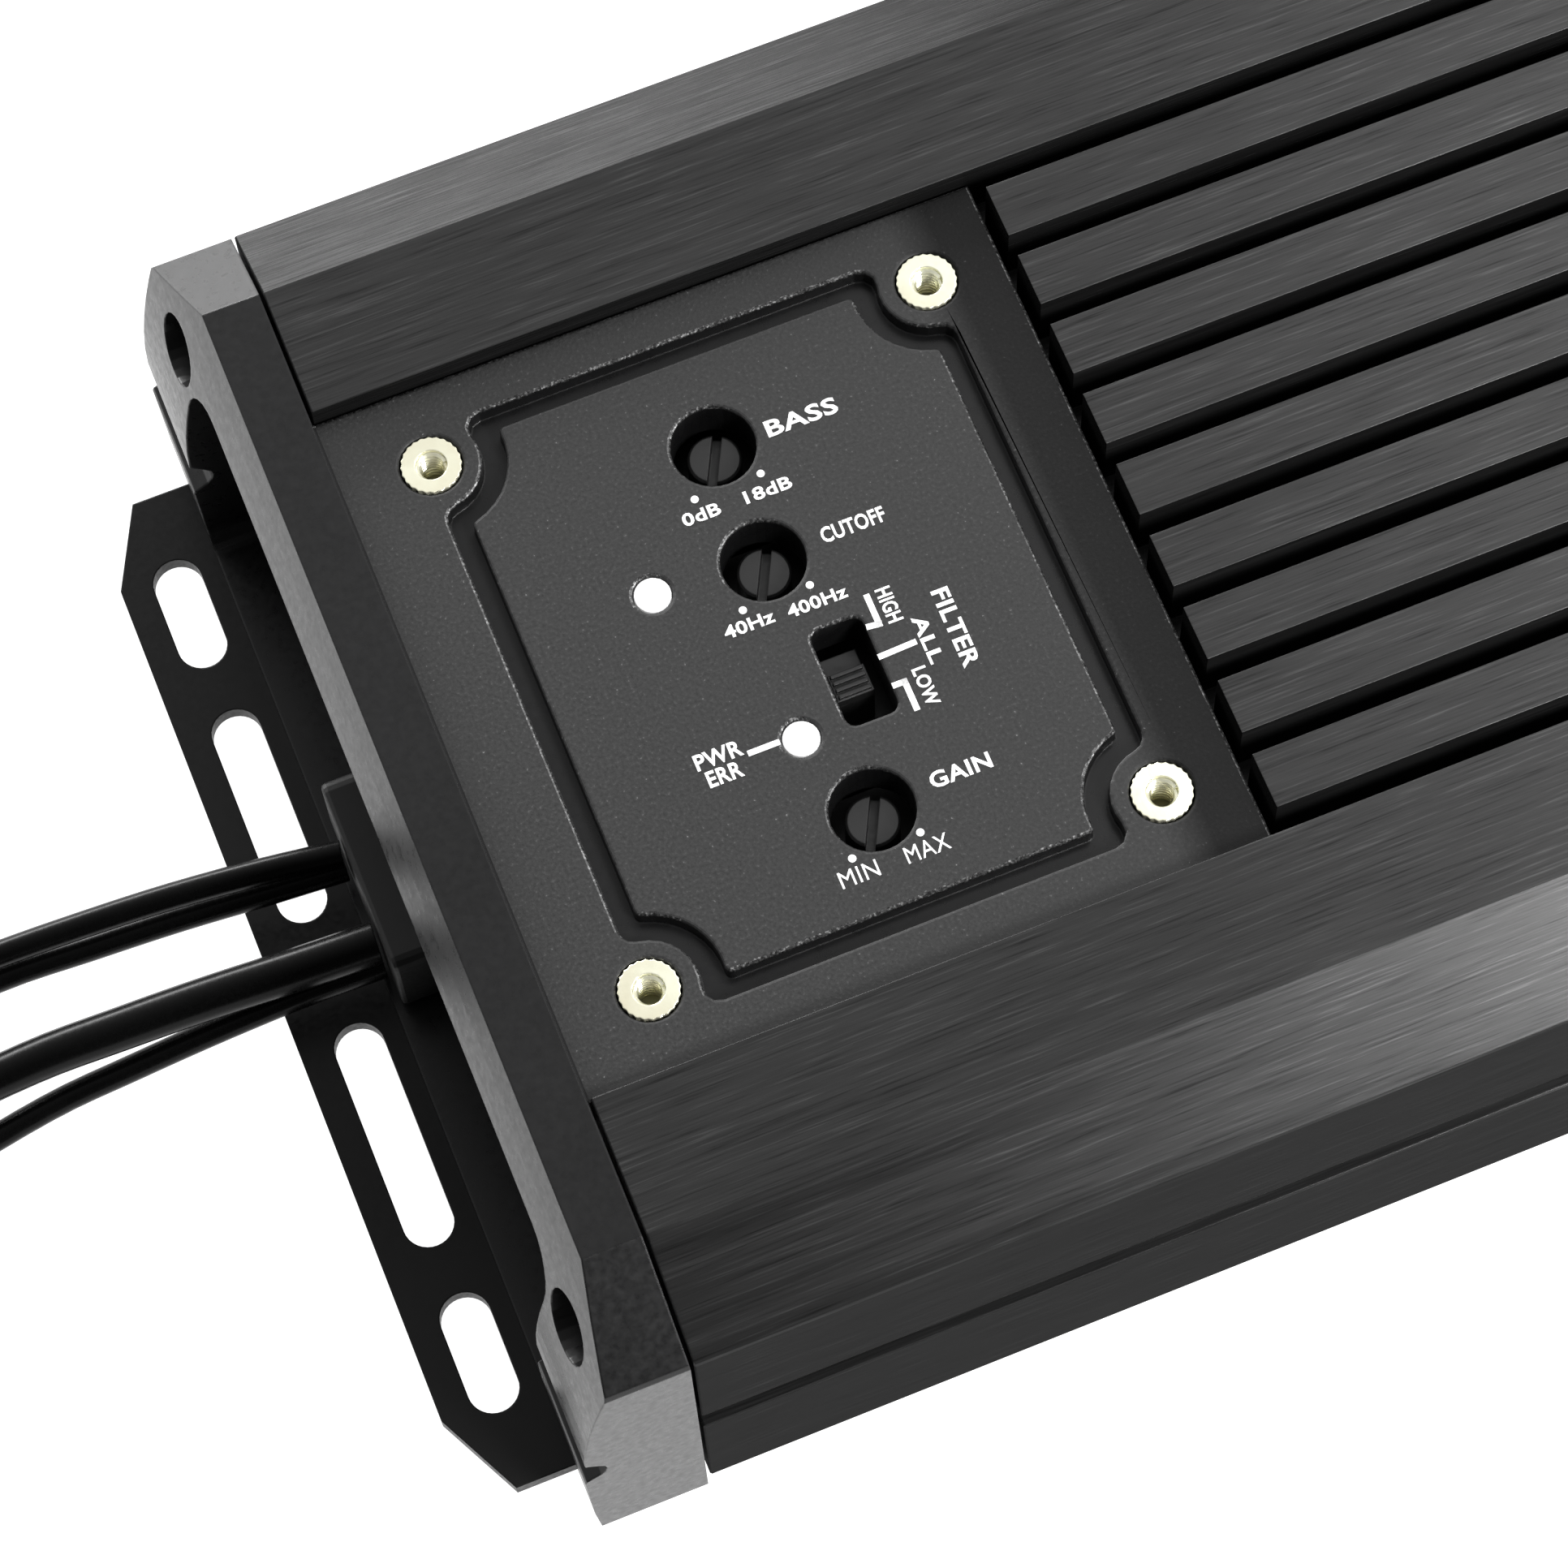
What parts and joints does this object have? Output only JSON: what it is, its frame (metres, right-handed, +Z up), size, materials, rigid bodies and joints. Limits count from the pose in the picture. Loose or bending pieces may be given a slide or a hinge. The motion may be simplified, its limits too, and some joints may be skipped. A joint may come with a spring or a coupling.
{
  "type": "car amplifier",
  "caption": "Compact finned car amplifier with its control cover off, showing level trimmers, a filter switch and lamps, slotted mounting tabs and trailing leads.",
  "frame": {"origin": "middle of the body's footprint, on the surface that the end caps stand on, without the leads", "axes": "+X along the ribs from the control panel's end to the plain end, +Y across to the side with the first trimmer, +Z up"},
  "size_m": [0.3331, 0.1359, 0.0424],
  "materials": {
    "brushed_black_aluminium": "brushed, black anodised",
    "black_casting": "fine-grained satin black over a cast cap",
    "black_sheet_steel": "satin black sheet",
    "black_rubber": "matt",
    "black_plastic": "moulded",
    "nickelled_brass": "machined, knurled",
    "black_steel": "black oxide",
    "white_lens": "milky, polished",
    "green_board": "solder mask",
    "blue_sleeve": "shrunk sleeve",
    "grey_ferrite": "sintered",
    "black_jacket": "glossy PVC"
  },
  "bodies": {
    "amplifier": {"heatsink_chassis": "brushed_black_aluminium", "front_cap": "black_casting", "rear_cap": "black_casting", "front_gasket": "black_rubber", "rear_gasket": "black_rubber", "front_bracket": "black_sheet_steel", "rear_bracket": "black_sheet_steel", "base_plate": "black_sheet_steel", "transistor_clamp": "black_sheet_steel", "main_board": "green_board", "control_board": "green_board", "board_header": "black_plastic", "cable_gland": "black_rubber", "filter_switch_body": "black_plastic", "power_lens": "white_lens", "status_lens": "white_lens", "supply_toroid": "grey_ferrite", "output_inductor_near": "grey_ferrite", "output_inductor_far": "grey_ferrite", "input_jack_far": "black_plastic", "input_jack_near": "black_plastic", "power_plug": "black_plastic", "speaker_plug": "black_plastic", "front_bolt_near": "black_steel", "front_bracket_screw_near": "black_steel", "front_base_screw_near": "black_steel", "front_bolt_far": "black_steel", "front_bracket_screw_far": "black_steel", "front_base_screw_far": "black_steel", "rear_bolt_near": "black_steel", "rear_bracket_screw_near": "black_steel", "rear_base_screw_near": "black_steel", "rear_bolt_far": "black_steel", "rear_bracket_screw_far": "black_steel", "rear_base_screw_far": "black_steel", "brass_insert_1": "nickelled_brass", "brass_insert_2": "nickelled_brass", "brass_insert_3": "nickelled_brass", "brass_insert_4": "nickelled_brass", "supply_capacitor_1": "blue_sleeve", "power_transistor_1": "black_plastic", "supply_capacitor_2": "blue_sleeve", "power_transistor_2": "black_plastic", "supply_capacitor_3": "blue_sleeve", "power_transistor_3": "black_plastic", "bass_trimmer_body": "black_plastic", "crossover_trimmer_body": "black_plastic", "gain_trimmer_body": "black_plastic", "input_lead_far": "black_jacket", "input_lead_far_coil": "black_jacket", "input_lead_near": "black_jacket", "input_lead_near_coil": "black_jacket", "power_lead": "black_jacket", "power_lead_coil": "black_jacket", "speaker_lead": "black_jacket", "speaker_lead_coil": "black_jacket"},
    "bass_rotor": {"bass_trimmer": "black_plastic"},
    "crossover_rotor": {"crossover_trimmer": "black_plastic"},
    "gain_rotor": {"gain_trimmer": "black_plastic"},
    "filter_slider": {"filter_switch_slider": "black_plastic"}
  },
  "joints": [
    {"name": "bass_turn", "type": "hinge", "parent": "amplifier", "child": "bass_rotor", "pos_m": [-0.0511, 0.0169, 0.0381], "axis": [0, 0, 1], "range_deg": [-118, 168]},
    {"name": "crossover_turn", "type": "hinge", "parent": "amplifier", "child": "crossover_rotor", "pos_m": [-0.0511, 0.0061, 0.0381], "axis": [0, 0, 1], "range_deg": [-118, 168]},
    {"name": "gain_turn", "type": "hinge", "parent": "amplifier", "child": "gain_rotor", "pos_m": [-0.0511, -0.0168, 0.0381], "axis": [0, 0, 1], "range_deg": [-118, 168]},
    {"name": "filter_slide", "type": "slide", "parent": "amplifier", "child": "filter_slider", "axis": [0, 1, 0], "range_m": [-0.0029, 0.0011]}
  ]
}
